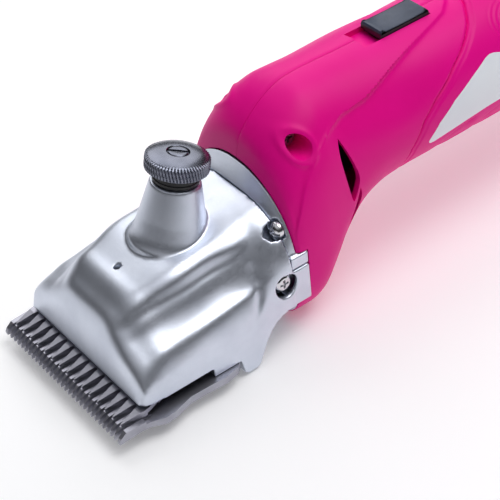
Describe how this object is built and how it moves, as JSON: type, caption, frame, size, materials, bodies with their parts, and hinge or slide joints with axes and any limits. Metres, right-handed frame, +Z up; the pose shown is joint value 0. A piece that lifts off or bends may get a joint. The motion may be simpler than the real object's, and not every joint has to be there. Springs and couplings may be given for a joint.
{
  "type": "electric sheep shears",
  "caption": "Handheld electric shears: toothed comb and swinging cutter under a cast head with a tension knob, gearbox flange and a cylindrical motor grip with a sliding switch.",
  "frame": {"origin": "centre of the comb's flat sole, on its mid-plane, 34 mm behind the tooth tips", "axes": "+X from the comb towards the cord end, +Z up out of the sole towards the tension knob, +Y to the tool's right-hand side seen from behind"},
  "size_m": [0.328, 0.0846, 0.0913],
  "materials": {
    "grip": "satin moulded",
    "casting": "fine blasted",
    "blade": "ground",
    "gunmetal": "dark turned, knurled rim",
    "polished_steel": "polished",
    "steel": "machined",
    "black_rubber": "matt",
    "black_plastic": "matt moulded",
    "slate_plastic": "satin moulded",
    "label": "satin, blank",
    "gear_plastic": "satin moulded",
    "laminated_iron": "stacked sheets",
    "copper": "enamelled copper",
    "brass": "bright",
    "carbon": "matt carbon"
  },
  "bodies": {
    "shears": {"comb": "blade", "head_casting": "casting", "comb_screw_left": "steel", "rim_screw_left": "polished_steel", "side_screw_left": "polished_steel", "field_coil_left": "copper", "carbon_brush_left": "carbon", "brush_holder_left": "brass", "brush_spring_left": "steel", "comb_screw_right": "steel", "rim_screw_right": "polished_steel", "side_screw_right": "polished_steel", "field_coil_right": "copper", "carbon_brush_right": "carbon", "brush_holder_right": "brass", "brush_spring_right": "steel", "fork_pivot_post": "steel", "tension_sleeve": "polished_steel", "gearbox_flange": "casting", "bearing_bracket": "casting", "crank_bearing_front": "steel", "crank_bearing_rear": "steel", "motor_bearing_front": "steel", "motor_bearing_rear": "steel", "stator": "laminated_iron", "rear_bearing_ring": "black_rubber", "grip_left": "grip", "grip_right": "grip", "grip_screw_1": "steel", "grip_screw_2": "steel", "grip_screw_3": "steel", "grip_screw_4": "steel", "label_plate": "label", "tail_cap": "grip", "cord_bush": "black_rubber", "switch_well": "grip", "switch_body": "black_plastic"},
    "fork_and_cutter": {"fork": "steel", "cutter": "blade", "fork_foot_left": "steel", "fork_foot_right": "steel"},
    "armature": {"armature_shaft": "steel", "pinion": "steel", "rotor_core": "laminated_iron", "rotor_winding_front": "copper", "rotor_winding_rear": "copper", "commutator": "copper", "fan": "black_plastic"},
    "crank": {"crank_shaft": "steel", "drive_gear": "gear_plastic"},
    "roller": {"crank_roller": "steel"},
    "tension_stem": {"tension_pin": "steel", "tension_spring": "steel"},
    "knob": {"tension_knob": "gunmetal", "knob_seal": "black_rubber", "knob_screw": "gunmetal"},
    "switch": {"switch_slider": "slate_plastic", "switch_rod": "black_plastic"}
  },
  "joints": [
    {"name": "fork_swing", "type": "hinge", "parent": "shears", "child": "fork_and_cutter", "pos_m": [0.026, 0, 0.016], "axis": [0, 0, 1], "range_deg": [-2.6, 2.6]},
    {"name": "armature_spin", "type": "hinge", "parent": "shears", "child": "armature", "pos_m": [0.15, 0, 0.055], "axis": [1, 0, 0], "continuous": true},
    {"name": "crank_spin", "type": "hinge", "parent": "shears", "child": "crank", "pos_m": [0.066, 0, 0.0262], "axis": [1, 0, 0], "continuous": true},
    {"name": "roller_spin", "type": "hinge", "parent": "crank", "child": "roller", "pos_m": [0.0469, 0, 0.0272], "axis": [1, 0, 0], "continuous": true},
    {"name": "tension_travel", "type": "slide", "parent": "shears", "child": "tension_stem", "axis": [0.2385, 0, 0.9711], "range_m": [0, 0.0025]},
    {"name": "knob_turn", "type": "hinge", "parent": "tension_stem", "child": "knob", "pos_m": [0.012, 0, 0], "axis": [0.2385, 0, 0.9711], "range_deg": [0, 720]},
    {"name": "switch_travel", "type": "slide", "parent": "shears", "child": "switch", "axis": [-1, 0, 0], "range_m": [0, 0.008]}
  ],
  "couplings": [
    {"joint": "crank_spin", "follows": "armature_spin", "ratio": -0.2},
    {"joint": "knob_turn", "follows": "tension_travel", "rad_per_m": 5026.5}
  ]
}
